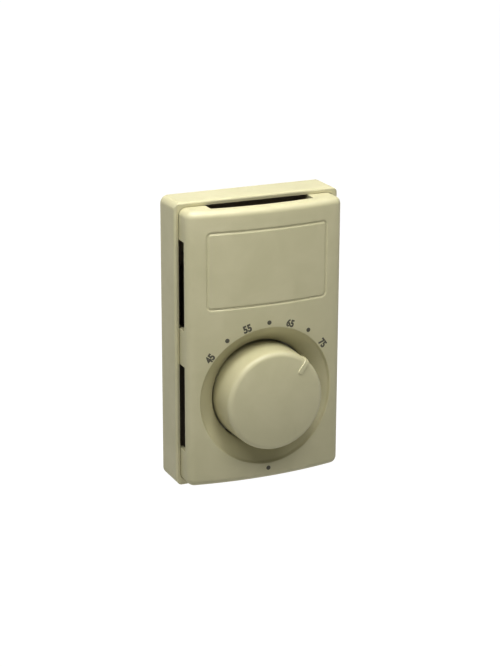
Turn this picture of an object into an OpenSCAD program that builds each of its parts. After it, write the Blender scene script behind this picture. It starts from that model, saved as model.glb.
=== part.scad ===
// Line-voltage wall thermostat: rear base, bowed front cover, setting knob and the mechanism between them.
// Frame: origin at the middle of the base's rear face, on the wall. X to the right as seen from the room,
// -Y out of the wall towards the room, +Z up.
// Inside the modules a plan is used: x to the right, y up, and the distance from the wall as the third axis.

/* [Body] */
// Width of the rear base
base_w = 70.5; // [70:0.25:72]
// Height of the rear base
base_h = 117.5; // [116.5:0.5:120]
// Depth of the rear base, from the wall
base_d = 14.5; // [14:0.25:15]
// Step from the base's side to the cover's side, all round
cover_step = 1.9; // [1.9:0.05:2]
// Depth of the cover's face along its middle, from the wall
face_d = 26.5; // [26:0.25:28]
// How far the face falls back from its middle to its side edges
face_bow = 3.7; // [3:0.1:4]
// Rounding of the cover's front edges
edge_r = 2.8; // [2.6:0.1:3]

/* [Dial] */
// Height of the dial's centre on the body, below its middle
dial_y = -21.2; // [-21.4:0.1:-21]
// Radius of the dish in the face
dish_r = 28.6; // [28:0.1:29]
// Depth of the dish's inner edge, from the wall
dish_d = 19; // [18.5:0.25:19.5]
// Radius of the knob at its skirt
knob_r = 20.9; // [20.7:0.1:21.1]
// Radius of the knob at its rim
rim_r = 20.5; // [20:0.1:20.6]
// Depth of the middle of the knob's domed face, from the wall
knob_d = 35.3; // [35.2:0.1:36]
// Height of the dome of the knob's face
knob_crown = 1.4; // [1:0.1:1.5]
// Rounding of the knob's rim
knob_fillet = 2.4; // [2:0.1:2.6]
// Angle of the pointer from straight up, clockwise, at rest
pointer_turn = 42; // [-50:1:50]
// Width of the raised pointer
pointer_w = 2; // [1.6:0.1:3]
// Height of the raised pointer above the knob's face
pointer_t = 0.4; // [0.3:0.05:0.6]

/* [Setting] */
// Knob turn from rest to the coolest mark
cool_turn = 88; // [80:1:90]
// Knob turn from rest to the warmest mark
warm_turn = 18; // [16:1:20]
// Rise of the cam over the whole turn
cam_rise = 1.2; // [1:0.1:1.2]
// Radius of the setting shaft
shaft_r = 3; // [2.9:0.05:3.1]

/* [Wall box] */
// Distance between the two box screws
box_pitch = 83.3; // [83.3]
// Half width of the box screw slots
slot_r = 2.2; // [2.1:0.05:2.4]
// Length of the box screw slots, end to end
slot_l = 9; // [8:0.5:10]

/* [Hidden] */
$fn = 96;

// colours
almond = [0.80, 0.77, 0.64];
bakelite = [0.13, 0.11, 0.10];
steel = [0.70, 0.71, 0.72];
spring_steel = [0.55, 0.56, 0.58];
brass = [0.78, 0.62, 0.32];
silver = [0.86, 0.86, 0.84];
ceramic = [0.90, 0.88, 0.82];
fibre = [0.42, 0.38, 0.33];

eps = 0.01;
through = 1; // how far a cut runs past the solid that it goes through
running = 0.05; // radial clearance of everything that turns or slides

// rear base
floor_t = 2.4;
base_wall = 1.8;
base_corner_r = 3.2;
base_edge_r = 1.1;
sheet_t = 0.4;
sheet_w = 61;
sheet_h = 108;

// front cover
wall = 2;
skirt_d = 11.6; // rear edge of the cover, from the wall
cover_w = base_w - 2 * cover_step;
cover_h = base_h - 2 * cover_step - 0.5;
cover_corner_r = 3;
cover_gap = cover_step - base_wall; // between the cover's side and the base's wall, all round
cavity_w = cover_w + 2 * cover_gap;
cavity_h = cover_h + 2 * cover_gap;
cavity_corner_r = cover_corner_r + cover_gap;
bow_r = (pow(cover_w / 2, 2) + pow(face_bow, 2)) / (2 * face_bow);
bow_axis_d = face_d - bow_r;
fine = 720; // facets on the large radii of the bow
hole_r = knob_r + 0.5;
dish_edge_d = bow_axis_d + sqrt(pow(bow_r, 2) - pow(dish_r, 2)) - 0.2;
side_vents = [[8, 44], [-42.5, -7]]; // lower and upper end of each side vent
vent_front_d = 19.1;
top_vent_w = 44;
top_vent_back = 5.2; // distance from the face to the front edge of the top and bottom vents
groove_w = 1;
groove_t = 0.45;
panel_w = 52;
panel_h = 31.6;
panel_y = 32.5;
panel_r = 2.1;

// ledges in the base that the cover's rear edge stands on: [x, y]
ledge = 2.4;
side_ledges = [-50, -6, 7, 50];
end_ledges = [-27, 27];

// mounting frame and its posts
frame_d = 11;
frame_t = 1.2;
frame_w = 54;
frame_top = -4;
frame_bottom = -38.3;
post_r = 3.4;
frame_posts = [for (x = [-22.5, 22.5], y = [-34.5, 0.5]) [x, y]];

// setting shaft and what is on it, as distances from the wall
journal_r = 2;
journal_d = 1.6;
shoulder_d = 5.4;
cam_d = 5.8;
cam_t = 3;
cam_hub_r = 5;
bushing_flange_d = 9.8;
bushing_r = 4.2;
bushing_front_d = 15;
washer_t = 0.5;
ring_d = 15.6;
ring_t = 0.7;
ring_groove_r = 2.4;
flat_d = 17; // where the shaft's flat starts
flat_y = 2; // from the shaft's axis to its flat
pointer_from = 14.2; // distance of the pointer's inner end from the shaft's axis
pointer_drop = 5; // how far the pointer runs down the knob's side
knob_back_d = dish_d - 1.8; // rear edge of the knob, from the wall
fillet_x = rim_r - knob_fillet; // centre of the rim's rounding
fillet_d = knob_d - knob_crown - knob_fillet;
dome_r = (pow(fillet_x, 2) + pow(knob_crown + knob_fillet, 2) - pow(knob_fillet, 2)) / (2 * knob_crown);
dome_angle = asin(fillet_x / (dome_r - knob_fillet));
knob_ceiling_d = knob_d - knob_crown - 1.8; // front of the hollow in the knob
knob_hub_r = 5.5;
shaft_end_d = 30.5;

// cam: radius at rest, straight up from the shaft, and its lead
cam_r = 9;
cam_core_r = 7.4;
cam_lead = cam_rise / (cool_turn + warm_turn); // mm per degree
lug_r = 12.7;
lug_span = 14;
stop_pin_r = 1.2;
stop_orbit = 11.4;
stop_margin = asin(stop_pin_r / stop_orbit) + 1.2;

// range lever
pivot = [-22, -9.5];
lever_d = 6.2;
lever_t = 1.2;
lever_pin_r = 2;
nose_r = 1.5;
nose_gap = 0.04;
nose_y = dial_y + cam_r + nose_r + nose_gap;
flange_x = 3.4;
flange_bottom = -2.6; // stays above the frame's top edge at the cool stop
flange_top = 6;
flange_d = 15.4;
spring_x = -16;
spring_d = 9;
spring_peg_r = 0.7;
spring_lever_y = -9.2;
spring_anchor_y = -33;

// bimetal blade and its rivets
blade_t = 0.8;
blade_top = 29;
blade_from_d = 7.8;
blade_to_d = 15;
rivet_ys = [-0.4, 3.8];
rivet_d = 11.4;
rivet_r = 0.9;
rivet_head_r = 1.6;

// switch: its axis is the plunger's line
press_y = 24;
press_d = 11;
press_travel = 0.4;
case_x = [-29, -7];
case_y = [7, 31];
case_d = 5;
case_front_d = 15.4;
case_wall = 1.5;
lid_t = 1.6;
case_floor_d = case_d + case_wall;
case_screws = [[-26.2, 10], [-9.6, 28.5]];
case_screw_r = 1.2;
plunger_r = 1.55;
plunger_tip_x = -4.6;
plunger_end_x = -13.95;
arm_pivot = [-14.3, 27.3];
arm_pin_r = 0.8;
arm_t = 0.5;
arm_d = [8, 14];
arm_bottom = 11.8;
contact_y = 14;
strip_t = 0.8;
load_x = -23.2;
line_x = -12.4;
terminal_y = 37.5;
terminal_pad = 8;
load_strip_w = 4.8;
carrier_x = -19;
blade_gap = 0.42; // from the calibration screw's tip to the plunger at rest

// heat anticipator
heater_x = 13;
heater_d = 11;
heater_r = 2.2;
heater_y = [1, 23];
winding_y = [4.5, 19.5];
clip_feet = [[-1.5, 1.8], [25.3, 21.6]]; // post and bracket of each end
small_post_r = 2.6;

// window for the supply wires
window = [17, 34];
window_w = 14;
window_h = 11;

// springs that hold the cover
clip_y = 0.5;
clip_w = 8;
clip_t = 0.5;
clip_screw_x = 28.4;

// every post that stands on the base's floor: [x, y, radius, top]
posts = concat(
    [for (p = frame_posts) [p[0], p[1], post_r, frame_d]],
    [for (p = case_screws) [p[0], p[1], 2.8, case_d]],
    [for (x = [load_x, line_x]) [x, terminal_y, 4, case_floor_d]],
    [for (f = clip_feet) [heater_x, f[0], small_post_r, case_d]],
    [for (s = [-1, 1]) [s * clip_screw_x, clip_y, 2, floor_t]],
    [[spring_x, spring_anchor_y, 2, 7.4]],
    [[0, dial_y, 5, shoulder_d - 0.2]]
);

// blind holes for screws in those posts: [x, y, radius, depth of the hole's bottom]
post_holes = concat(
    [for (p = frame_posts) [p[0], p[1], 1.5, 4]],
    [for (p = case_screws) [p[0], p[1], case_screw_r, 1]],
    [for (x = [load_x, line_x]) [x, terminal_y, 1.7, 1.2]],
    [for (f = clip_feet) [heater_x, f[0], 1.1, 1.2]],
    [for (s = [-1, 1]) [s * clip_screw_x, clip_y, 1, 0.8]]
);

// ---- shared shapes ----

// stands a plan up on the wall
module on_wall() {
    rotate([90, 0, 0]) children();
}

// a flat shape made solid between two distances from the wall
module layer(from, to) {
    translate([0, 0, from]) linear_extrude(to - from) children();
}

// a round bar along x
module bar_x(radius, from, to, y, d) {
    translate([from, y, d]) rotate([0, 90, 0]) cylinder(r = radius, h = to - from);
}

// a round bar along y
module bar_y(radius, from, to, x, d) {
    translate([x, to, d]) rotate([90, 0, 0]) cylinder(r = radius, h = to - from);
}

module rounded_rect(width, height, radius) {
    square([width - 2 * radius, height], center = true);
    square([width, height - 2 * radius], center = true);
    for (x = [-1, 1], y = [-1, 1])
        translate([x * (width / 2 - radius), y * (height / 2 - radius)]) circle(radius);
}

module ring(outer, inner) {
    difference() {
        circle(outer);
        circle(inner);
    }
}

// a section that stands on its base line and has its two front corners rounded
module front_rounded(width, depth, radius) {
    translate([-width / 2, 0]) square([width, depth - radius]);
    translate([-width / 2 + radius, 0]) square([width - 2 * radius, depth]);
    for (side = [-1, 1]) translate([side * (width / 2 - radius), depth - radius]) circle(radius);
}

// pan head screw from the front: shank up to the seat, head in front of it, straight slot
module screw(x, y, radius, tip, seat, head_r, head_t) {
    difference() {
        translate([x, y, 0]) union() {
            translate([0, 0, tip]) cylinder(r = radius, h = seat - tip);
            translate([0, 0, seat]) cylinder(r = head_r, h = head_t / 2);
            translate([0, 0, seat + head_t / 2]) cylinder(r1 = head_r, r2 = head_r * 0.8, h = head_t / 2);
        }
        translate([x, y, seat + head_t]) cube([2 * head_r + 1, 0.25 * head_r, head_t], center = true);
    }
}

// ---- body ----

module base_block() {
    intersection() {
        layer(0, base_d) rounded_rect(base_w, base_h, base_corner_r);
        rotate([90, 0, 0]) linear_extrude(base_h, center = true) front_rounded(base_w, base_d, base_edge_r);
        rotate([90, 0, 90]) linear_extrude(base_w, center = true) front_rounded(base_h, base_d, base_edge_r);
    }
}

module base_ledges() {
    for (side = [-1, 1]) {
        for (y = side_ledges)
            translate([side * (cavity_w - ledge) / 2, y, (skirt_d - 0.1) / 2])
                cube([ledge + eps, 2, skirt_d - 0.1], center = true);
        for (x = end_ledges)
            translate([x, side * (cavity_h - ledge) / 2, (skirt_d - 0.1) / 2])
                cube([2, ledge + eps, skirt_d - 0.1], center = true);
    }
}

module box_slots() {
    for (side = [-1, 1]) translate([0, side * box_pitch / 2, -through]) {
        for (end = [-1, 1])
            translate([0, end * (slot_l / 2 - slot_r), 0]) cylinder(r = slot_r, h = floor_t + 2 * through);
        translate([-slot_r, -slot_l / 2 + slot_r, 0])
            cube([2 * slot_r, slot_l - 2 * slot_r, floor_t + 2 * through]);
    }
}

module rear_base() {
    color(almond) on_wall() difference() {
        union() {
            difference() {
                base_block();
                layer(floor_t, base_d + through)
                    rounded_rect(cavity_w, cavity_h, cavity_corner_r);
            }
            base_ledges();
            for (p = posts) translate([p[0], p[1], 0]) cylinder(r = p[2], h = p[3]);
            translate([spring_x, spring_anchor_y, 0]) cylinder(r = spring_peg_r, h = spring_d + 1.2);
        }
        box_slots();
        for (h = post_holes) translate([h[0], h[1], h[3]]) cylinder(r = h[2], h = frame_d);
        translate([0, dial_y, journal_d - 0.2]) cylinder(r = journal_r + running, h = frame_d);
        layer(-through, floor_t + through) translate(window) rounded_rect(window_w, window_h, 2);
    }
}

module insulating_sheet() {
    color(fibre) on_wall() layer(floor_t, floor_t + sheet_t) difference() {
        rounded_rect(sheet_w, sheet_h, 2);
        for (p = posts) translate([p[0], p[1]]) circle(p[2] + 0.3);
        translate(window) rounded_rect(window_w + 1, window_h + 1, 2);
        for (side = [-1, 1]) {
            translate([0, side * box_pitch / 2]) square([12, slot_l + 4], center = true);
            translate([side * sheet_w / 2, clip_y]) square([10.5, clip_w + 1], center = true);
        }
    }
}

// the bowed face, as a drum about an upright axis behind the wall, with its two ends rounded
module drum(radius, height, edge) {
    translate([0, 0, bow_axis_d]) rotate([90, 0, 0]) rotate_extrude($fn = fine) {
        translate([0, -height / 2]) square([radius - edge, height]);
        translate([0, -height / 2 + edge]) square([radius, height - 2 * edge]);
        for (end = [-1, 1]) translate([radius - edge, end * (height / 2 - edge)]) circle(edge, $fn = 64);
    }
}

// section across the cover: straight sides, rounded edges, bowed front
module bowed_section(width, radius, edge) {
    corner = [width / 2 - edge, sqrt(pow(radius - edge, 2) - pow(width / 2 - edge, 2))];
    translate([0, bow_axis_d]) {
        translate([-width / 2, 0]) square([width, corner[1]]);
        for (side = [-1, 1]) translate([side * corner[0], corner[1]]) circle(edge);
        intersection() {
            circle(radius, $fn = fine);
            polygon([[0, 0], 2 * corner, [-2 * corner[0], 2 * corner[1]]]);
        }
    }
}

module cover_block(inset, rear) {
    width = cover_w - 2 * inset;
    height = cover_h - 2 * inset;
    intersection() {
        layer(rear, face_d) rounded_rect(width, height, cover_corner_r - inset);
        drum(bow_r - inset, height, edge_r - inset);
        rotate([90, 0, 0]) linear_extrude(height, center = true)
            bowed_section(width, bow_r - inset, edge_r - inset);
    }
}

module bow_cylinder(radius) {
    translate([0, 0, bow_axis_d]) rotate([90, 0, 0])
        cylinder(r = radius, h = 2 * base_h, center = true, $fn = fine);
}

// the dish as a solid, grown by a thickness
module dish(grow, front) {
    translate([0, dial_y, dish_d - grow])
        cylinder(r1 = hole_r + grow, r2 = dish_r + grow, h = dish_edge_d - dish_d);
    translate([0, dial_y, dish_edge_d - grow]) cylinder(r = dish_r + grow, h = front - dish_edge_d + grow);
}

module side_vent_cuts() {
    for (vent = side_vents)
        translate([-base_w / 2, vent[0], skirt_d - through])
            cube([base_w, vent[1] - vent[0], vent_front_d - skirt_d + through]);
}

module end_vent_cuts() {
    intersection() {
        translate([-top_vent_w / 2, -base_h / 2, skirt_d - through]) cube([top_vent_w, base_h, face_d]);
        bow_cylinder(bow_r - top_vent_back);
    }
}

module panel_groove() {
    difference() {
        layer(dish_d, face_d + through) translate([0, panel_y]) difference() {
            rounded_rect(panel_w, panel_h, panel_r);
            rounded_rect(panel_w - 2 * groove_w, panel_h - 2 * groove_w, panel_r - groove_w);
        }
        bow_cylinder(bow_r - groove_t);
    }
}

module front_cover() {
    color(almond) on_wall() difference() {
        union() {
            difference() {
                cover_block(0, skirt_d);
                cover_block(wall, skirt_d - through);
                side_vent_cuts();
                end_vent_cuts();
            }
            intersection() {
                dish(wall - 0.2, face_d);
                cover_block(wall / 2, skirt_d);
            }
        }
        dish(0, face_d + through);
        translate([0, dial_y, skirt_d - through]) cylinder(r = hole_r, h = face_d);
        panel_groove();
    }
}

module cover_clip(side) {
    inner_x = cover_w / 2 - wall;
    color(spring_steel) on_wall() difference() {
        translate([0, clip_y + clip_w / 2, 0]) rotate([90, 0, 0]) linear_extrude(clip_w) polygon([
            [side * (inner_x - 5.2), floor_t], [side * (inner_x - 0.4), floor_t],
            [side * (inner_x - 0.4), 13.6], [side * (inner_x - 0.06), 14.8],
            [side * (inner_x - 0.8), 17.4], [side * (inner_x - 1.3), 17.3],
            [side * (inner_x - 0.62), 14.8], [side * (inner_x - 0.4 - clip_t), 13.6],
            [side * (inner_x - 0.4 - clip_t), floor_t + clip_t], [side * (inner_x - 5.2), floor_t + clip_t],
        ]);
        translate([side * clip_screw_x, clip_y, 0]) cylinder(r = 1, h = 2 * floor_t);
    }
}

module clip_screws() {
    color(steel) on_wall() for (side = [-1, 1])
        screw(side * clip_screw_x, clip_y, 1, 1, floor_t + clip_t, 1.8, 1.2);
}

// ---- frame and setting shaft ----

module frame_plan() {
    difference() {
        union() {
            translate([-frame_w / 2, frame_bottom]) square([frame_w, frame_top - frame_bottom]);
            for (side = [-1, 1]) translate([side * frame_posts[2][0], 0]) rounded_rect(9, 9.4, 2);
        }
        for (p = frame_posts) translate(p) circle(1.7);
        translate([0, dial_y]) circle(bushing_r);
        translate([0, dial_y - stop_orbit]) circle(stop_pin_r);
        translate(pivot) circle(1.5);
        for (side = [-1, 1]) translate([side * 15.5, dial_y - 3]) circle(3);
        translate([0, frame_bottom]) rounded_rect(19, 9.6, 2);
    }
}

module mounting_frame() {
    color(steel) on_wall() {
        layer(frame_d, frame_d + frame_t) frame_plan();
        for (x = [-frame_w / 2, frame_w / 2 - frame_t])
            translate([x, -29, frame_d]) cube([frame_t, 21, frame_t + 3]);
    }
}

module frame_screws() {
    color(steel) on_wall() for (p = frame_posts)
        screw(p[0], p[1], 1.5, 4.4, frame_d + frame_t, 3.1, 1.9);
}

module shaft_bushing() {
    color(brass) on_wall() translate([0, dial_y]) {
        layer(bushing_flange_d, frame_d) ring(6, shaft_r + running);
        layer(frame_d, bushing_front_d) ring(bushing_r, shaft_r + running);
    }
}

module friction_washer() {
    color(spring_steel) on_wall() translate([0, dial_y])
        layer(bushing_front_d, bushing_front_d + washer_t) ring(5.2, shaft_r + 0.15);
}

module shaft_retaining_ring() {
    color(spring_steel) on_wall() translate([0, dial_y]) layer(ring_d, ring_d + ring_t) difference() {
        ring(5, ring_groove_r);
        translate([0, -4]) square([3, 8], center = true);
    }
}

module setting_shaft() {
    color(steel) on_wall() translate([0, dial_y, 0]) difference() {
        union() {
            translate([0, 0, journal_d]) cylinder(r = journal_r, h = shoulder_d - journal_d);
            translate([0, 0, shoulder_d]) cylinder(r = shaft_r, h = shaft_end_d - shoulder_d - 0.6);
            translate([0, 0, shaft_end_d - 0.6]) cylinder(r1 = shaft_r, r2 = shaft_r - 0.6, h = 0.6);
        }
        layer(ring_d, ring_d + ring_t) ring(shaft_r + through, ring_groove_r);
        translate([-shaft_r - through, flat_y, flat_d])
            cube([2 * shaft_r + 2 * through, shaft_r, shaft_end_d]);
    }
}

// points of the cam's rim between two angles, counted anticlockwise from the right
function rim(from, to) = [
    for (a = [from:2:to]) (cam_r + cam_lead * (a - 90)) * [cos(a), sin(a)]
];

module sector(radius, from, to) {
    polygon(concat([[0, 0]], [for (a = [from:2:to]) radius * [cos(a), sin(a)]]));
}

module cam_plan() {
    first_lug = 270 + warm_turn + stop_margin;
    last_lug = 270 - cool_turn - stop_margin;
    circle(cam_core_r);
    polygon(concat([[0, 0]], rim(90 - cool_turn - 6, 90 + warm_turn + 6)));
    sector(lug_r, first_lug, first_lug + lug_span);
    sector(lug_r, last_lug - lug_span, last_lug);
}

module setting_cam() {
    color(almond) on_wall() translate([0, dial_y, 0]) difference() {
        union() {
            layer(cam_d, cam_d + cam_t) cam_plan();
            translate([0, 0, cam_d]) cylinder(r = cam_hub_r, h = bushing_flange_d - cam_d - 0.1);
        }
        translate([0, 0, cam_d - through]) cylinder(r = shaft_r, h = bushing_flange_d);
    }
}

module stop_pin() {
    color(steel) on_wall() translate([0, dial_y - stop_orbit, 0]) {
        translate([0, 0, cam_d]) cylinder(r = stop_pin_r, h = frame_d + frame_t - cam_d);
        translate([0, 0, frame_d + frame_t]) cylinder(r = 1.9, h = 0.6);
    }
}

// ---- knob ----

// half of the knob's outer section, grown by a thickness: the dome meets the rim's rounding in a tangent
module knob_outline(grow) {
    polygon([
        [0, knob_back_d], [knob_r + grow, knob_back_d], [rim_r + grow, fillet_d], [0, fillet_d],
    ]);
    translate([fillet_x, fillet_d]) circle(knob_fillet + grow);
    intersection() {
        translate([0, knob_d - dome_r]) circle(dome_r + grow);
        polygon([
            [0, knob_back_d], [fillet_x, knob_back_d], [fillet_x, fillet_d],
            [(dome_r + 2) * sin(dome_angle), knob_d - dome_r + (dome_r + 2) * cos(dome_angle)],
            [0, knob_d + 2],
        ]);
    }
}

module knob_hollow() {
    from = knob_back_d - through;
    polygon([
        [knob_hub_r, from], [knob_r - 1.9, from], [rim_r - 2.1, knob_ceiling_d],
        [knob_hub_r, knob_ceiling_d],
    ]);
}

// raised pointer: a bar with a round end that runs out over the rim
module pointer_bar() {
    translate([0, pointer_from + pointer_w / 2]) circle(pointer_w / 2);
    translate([-pointer_w / 2, pointer_from + pointer_w / 2]) square([pointer_w, knob_r]);
}

module setting_knob() {
    hub_end_d = 31.2;
    color(almond) on_wall() translate([0, dial_y, 0]) difference() {
        union() {
            rotate_extrude($fn = 180) difference() {
                knob_outline(0);
                knob_hollow();
            }
            for (turn = [0:60:300]) rotate(turn)
                translate([knob_hub_r - 0.5, -0.6, 25]) cube([14, 1.2, knob_ceiling_d - 24.5]);
            intersection() {
                rotate_extrude($fn = 180) difference() {
                    knob_outline(pointer_t);
                    knob_outline(-1);
                }
                rotate(-pointer_turn)
                    layer(knob_d - knob_crown - pointer_drop, knob_d + through) pointer_bar();
            }
        }
        layer(knob_back_d - through, hub_end_d) difference() {
            circle(shaft_r + running);
            translate([-shaft_r - 1, flat_y + 0.45]) square([2 * shaft_r + 2, shaft_r]);
        }
    }
}

module knob_spring_clip() {
    color(spring_steel) on_wall() translate([-1.7, dial_y + flat_y + running, 18]) cube([3.4, 0.4, 11]);
}

// ---- range lever and bimetal ----

module lever_pin() {
    color(steel) on_wall() translate([pivot[0], pivot[1], 0]) {
        translate([0, 0, lever_d - 1]) cylinder(r = 3.2, h = 0.9);
        translate([0, 0, lever_d - 0.1]) cylinder(r = lever_pin_r, h = lever_t + 0.2);
        translate([0, 0, lever_d + lever_t + 0.1]) cylinder(r = 3, h = frame_d - lever_d - lever_t - 0.1);
        translate([0, 0, frame_d]) cylinder(r = 1.5, h = frame_t);
        translate([0, 0, frame_d + frame_t]) cylinder(r = 2.4, h = 0.7);
    }
}

module lever_plan() {
    translate(pivot) circle(4.2);
    polygon([
        pivot + [0, 3.4], pivot + [0, -3], [-nose_r, nose_y], [nose_r, nose_y], [flange_x + lever_t, -8],
        [flange_x + lever_t, flange_top], [-2, flange_top], [-4, -5.4],
    ]);
    translate([0, nose_y]) circle(nose_r);
}

module range_lever() {
    color(steel) on_wall() difference() {
        union() {
            layer(lever_d, lever_d + lever_t) lever_plan();
            translate([flange_x, flange_bottom, lever_d])
                cube([lever_t, flange_top - flange_bottom, flange_d - lever_d]);
            translate([spring_x, spring_lever_y, lever_d])
                cylinder(r = spring_peg_r, h = spring_d + 1 - lever_d);
        }
        translate([pivot[0], pivot[1], 0]) cylinder(r = lever_pin_r + running, h = frame_d);
        for (y = rivet_ys) bar_x(rivet_r, 0, 8, y, rivet_d);
    }
}

// extension spring: coil, and an eye over the peg at each end
module lever_spring() {
    wire = 0.3;
    eye = spring_peg_r + running + wire;
    coil = [-29.5, -14];
    color(spring_steel) on_wall() {
        difference() {
            bar_y(1.5, coil[0], coil[1], spring_x, spring_d);
            bar_y(0.9, coil[0] - through, coil[1] + through, spring_x, spring_d);
        }
        for (y = [spring_lever_y, spring_anchor_y])
            translate([spring_x, y, spring_d]) rotate_extrude() translate([eye, 0]) circle(wire, $fn = 24);
        bar_y(wire, coil[1] - 1, spring_lever_y - eye, spring_x + 1.2, spring_d);
        bar_y(wire, spring_anchor_y + eye, coil[0] + 1, spring_x + 1.2, spring_d);
        for (y = [spring_lever_y - eye, spring_anchor_y + eye])
            bar_x(wire, spring_x - wire, spring_x + 1.2, y, spring_d);
    }
}

module bimetal_blade() {
    color(brass) on_wall() difference() {
        translate([flange_x - blade_t, flange_bottom, blade_from_d])
            cube([blade_t, blade_top - flange_bottom, blade_to_d - blade_from_d]);
        for (y = rivet_ys) bar_x(rivet_r, 0, 8, y, rivet_d);
        bar_x(1.2, 0, 8, press_y, press_d);
    }
}

module bimetal_rivets() {
    color(steel) on_wall() for (y = rivet_ys) {
        bar_x(rivet_r, flange_x - blade_t, flange_x + lever_t, y, rivet_d);
        bar_x(rivet_head_r, flange_x - blade_t - 0.7, flange_x - blade_t, y, rivet_d);
        bar_x(rivet_head_r, flange_x + lever_t, flange_x + lever_t + 0.7, y, rivet_d);
    }
}

module calibration_screw() {
    tip_x = plunger_tip_x + blade_gap;
    head_x = flange_x + 1.6;
    color(brass) on_wall() difference() {
        union() {
            bar_x(0.7, tip_x, tip_x + 0.8, press_y, press_d);
            bar_x(1.2, tip_x + 0.8, head_x, press_y, press_d);
            bar_x(2.3, head_x, head_x + 1.5, press_y, press_d);
        }
        translate([head_x + 1.5, press_y, press_d]) cube([1.6, 0.6, 6], center = true);
    }
}

module calibration_nut() {
    nut_x = flange_x - blade_t - 2;
    color(brass) on_wall() translate([nut_x, press_y, press_d]) rotate([0, 90, 0]) difference() {
        cylinder(r = 2.6, h = 2, $fn = 6);
        translate([0, 0, -through]) cylinder(r = 1.2, h = 2 + 2 * through);
    }
}

// ---- switch ----

module case_plan() {
    translate([case_x[0], case_y[0]]) square([case_x[1] - case_x[0], case_y[1] - case_y[0]]);
}

module case_inner_plan() {
    translate([case_x[0] + case_wall, case_y[0] + case_wall])
        square([case_x[1] - case_x[0] - 2 * case_wall, case_y[1] - case_y[0] - 2 * case_wall]);
}

module switch_case() {
    guide_x = [case_x[1] - 3, case_x[1]];
    color(bakelite) on_wall() difference() {
        union() {
            difference() {
                layer(case_d, case_front_d) case_plan();
                layer(case_floor_d, case_front_d + through) case_inner_plan();
            }
            for (p = case_screws) translate([p[0], p[1], case_d])
                cylinder(r = 2.2, h = case_front_d - case_d);
            bar_x(3, guide_x[0], guide_x[1], press_y, press_d);
        }
        for (p = case_screws) translate([p[0], p[1], 0]) cylinder(r = case_screw_r, h = 2 * case_front_d);
        bar_x(plunger_r + running, guide_x[0] - 1, guide_x[1] + 1, press_y, press_d);
        for (x = [load_x, arm_pivot[0]])
            translate([x - load_strip_w / 2, case_y[1] - 2 * case_wall, case_floor_d])
                cube([load_strip_w, 4 * case_wall, strip_t]);
    }
}

module switch_lid() {
    color(bakelite) on_wall() difference() {
        union() {
            layer(case_front_d, case_front_d + lid_t) case_plan();
            translate([-18, 19, case_front_d + lid_t - eps]) layer(0, 0.5) rounded_rect(10, 12, 1.5);
        }
        for (p = case_screws) translate([p[0], p[1], 0]) cylinder(r = case_screw_r, h = 2 * case_front_d);
        translate([arm_pivot[0], arm_pivot[1], 0]) cylinder(r = arm_pin_r, h = case_front_d + 0.8);
    }
}

module switch_screws() {
    color(steel) on_wall() for (p = case_screws)
        screw(p[0], p[1], case_screw_r, 1.2, case_front_d + lid_t, 2.2, 1.4);
}

module switch_plunger() {
    collar_x = case_x[1] - 3 - 1.05;
    color(almond) on_wall() {
        bar_x(0.35, plunger_end_x, collar_x, press_y, press_d);
        bar_x(2, collar_x, collar_x + 1, press_y, press_d);
        bar_x(plunger_r, collar_x + 1, plunger_tip_x - 0.6, press_y, press_d);
        translate([plunger_tip_x - 0.6, press_y, press_d]) rotate([0, 90, 0])
            cylinder(r1 = plunger_r, r2 = 1, h = 0.6);
    }
}

module contact_arm() {
    color(brass) on_wall() difference() {
        union() {
            translate([arm_pivot[0], arm_pivot[1], arm_d[0]]) cylinder(r = 1.4, h = arm_d[1] - arm_d[0]);
            translate([arm_pivot[0] - arm_t / 2, arm_bottom, arm_d[0]])
                cube([arm_t, arm_pivot[1] - arm_bottom, arm_d[1] - arm_d[0]]);
        }
        translate([arm_pivot[0], arm_pivot[1], 0]) cylinder(r = arm_pin_r + running, h = 2 * arm_d[1]);
        bar_x(0.6, arm_pivot[0] - 1, arm_pivot[0] + 1, contact_y, press_d);
    }
}

module contact_pivot_pin() {
    color(steel) on_wall() translate([arm_pivot[0], arm_pivot[1], case_floor_d])
        cylinder(r = arm_pin_r, h = case_front_d + 0.7 - case_floor_d);
}

module moving_contact() {
    color(silver) on_wall() {
        bar_x(1.3, arm_pivot[0] - arm_t / 2 - 0.9, arm_pivot[0] - arm_t / 2, contact_y, press_d);
        bar_x(0.6, arm_pivot[0] - arm_t / 2, arm_pivot[0] + arm_t / 2, contact_y, press_d);
        bar_x(1, arm_pivot[0] + arm_t / 2, arm_pivot[0] + arm_t / 2 + 0.4, contact_y, press_d);
    }
}

module fixed_contact() {
    color(silver) on_wall() {
        bar_x(0.6, carrier_x, carrier_x + strip_t, contact_y, press_d);
        bar_x(1.5, carrier_x + strip_t, carrier_x + strip_t + 0.9, contact_y, press_d);
    }
}

module arm_return_spring() {
    spring_y = 20;
    color(spring_steel) on_wall() difference() {
        bar_x(1.6, case_x[0] + case_wall, arm_pivot[0] - arm_t / 2 - running, spring_y, press_d);
        bar_x(1.1, case_x[0], arm_pivot[0], spring_y, press_d);
    }
}

module terminal_pad_plan(x) {
    difference() {
        translate([x, terminal_y]) rounded_rect(terminal_pad, terminal_pad, 1);
        translate([x, terminal_y]) circle(1.7);
    }
}

module load_terminal() {
    run_x = load_x - load_strip_w / 2;
    color(brass) on_wall() difference() {
        union() {
            layer(case_floor_d, case_floor_d + strip_t) {
                terminal_pad_plan(load_x);
                translate([run_x, 12.4]) square([load_strip_w, terminal_y - 3 - 12.4]);
                translate([run_x, 12.4]) square([carrier_x + strip_t - run_x, 3.6]);
            }
            translate([carrier_x, 12.4, case_floor_d]) cube([strip_t, 3.6, 7]);
        }
        bar_x(0.6, carrier_x - 1, carrier_x + 2, contact_y, press_d);
    }
}

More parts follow.
